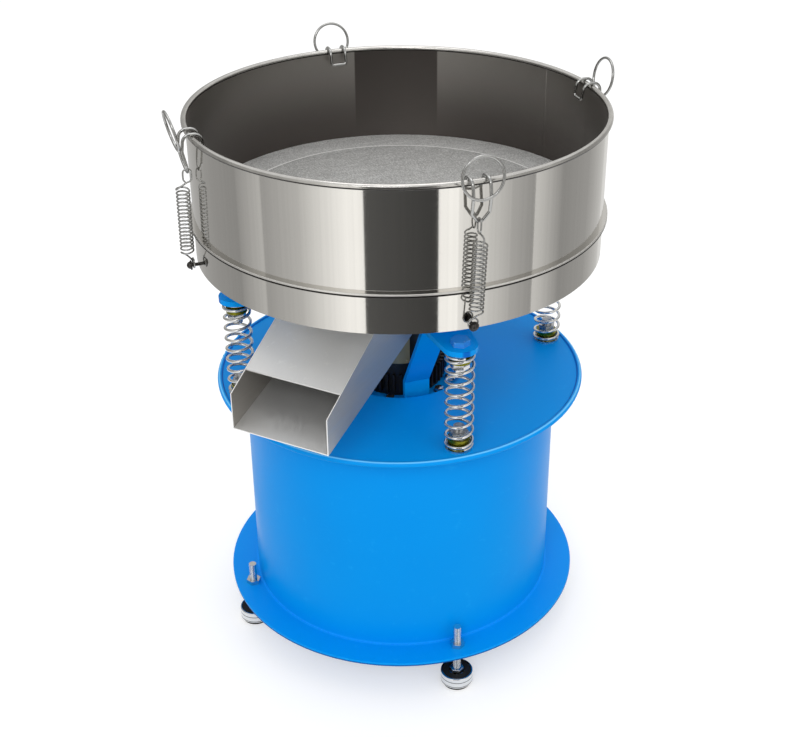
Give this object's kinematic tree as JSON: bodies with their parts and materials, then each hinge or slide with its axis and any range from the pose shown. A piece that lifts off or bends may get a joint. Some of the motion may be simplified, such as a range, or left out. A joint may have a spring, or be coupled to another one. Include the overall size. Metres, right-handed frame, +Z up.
{
  "type": "round vibrating screen",
  "caption": "Small round vibrating screen: stainless bowl with mesh, toggles and discharge chute, sprung on a blue drum stand.",
  "frame": {"origin": "on the floor, on the axis of the drum and of the bowl", "axes": "+Z up the axis; +X and +Y each through a foot, a support spring and a toggle; the chute points about midway between -X and -Y, 43 degrees from -X"},
  "size_m": [0.6703, 0.6644, 0.8981],
  "materials": {
    "blue_paint": "gloss",
    "polished_stainless": "polished",
    "satin_stainless": "satin",
    "woven_mesh": "woven",
    "black_paint": "satin",
    "bright_zinc": "bright",
    "yellow_zinc": "passivated",
    "spring_steel": "bright",
    "toggle_wire": "bright",
    "dark_steel": "dark",
    "black_rubber": "matt"
  },
  "bodies": {
    "stand": {"base_flange": "blue_paint", "base_drum": "blue_paint", "top_disc": "blue_paint", "foot_nuts": "bright_zinc", "lower_spring_seats": "yellow_zinc", "lower_seat_studs": "bright_zinc", "foot_pad_1": "black_rubber", "levelling_foot_1": "bright_zinc", "support_spring_1": "spring_steel", "foot_pad_2": "black_rubber", "levelling_foot_2": "bright_zinc", "support_spring_2": "spring_steel", "foot_pad_3": "black_rubber", "levelling_foot_3": "bright_zinc", "support_spring_3": "spring_steel", "foot_pad_4": "black_rubber", "levelling_foot_4": "bright_zinc", "support_spring_4": "spring_steel"},
    "screen_body": {"motor_cradle": "blue_paint", "cradle_arms": "blue_paint", "motor_body": "black_paint", "motor_cap": "black_paint", "motor_end_cover": "black_paint", "lower_frame": "polished_stainless", "bottom_pan": "satin_stainless", "screen_ring": "polished_stainless", "screen_mesh": "woven_mesh", "screen_support": "satin_stainless", "upper_frame": "polished_stainless", "chute_body": "satin_stainless", "chute_cover": "satin_stainless", "upper_spring_seats": "yellow_zinc", "upper_seat_bolts": "bright_zinc", "toggle_anchors": "dark_steel", "toggle_hook_1": "toggle_wire", "toggle_spring_1": "toggle_wire", "toggle_hook_2": "toggle_wire", "toggle_spring_2": "toggle_wire", "toggle_hook_3": "toggle_wire", "toggle_spring_3": "toggle_wire", "toggle_hook_4": "toggle_wire", "toggle_spring_4": "toggle_wire"}
  },
  "joints": [
    {"name": "bounce_on_springs", "type": "slide", "parent": "stand", "child": "screen_body", "axis": [0, 0, 1], "range_m": [-0.005, 0.005], "stiffness_N_per_m": 35600, "springref_m": 0.01141, "deforming": ["support_spring_1", "support_spring_2", "support_spring_3", "support_spring_4"]}
  ]
}
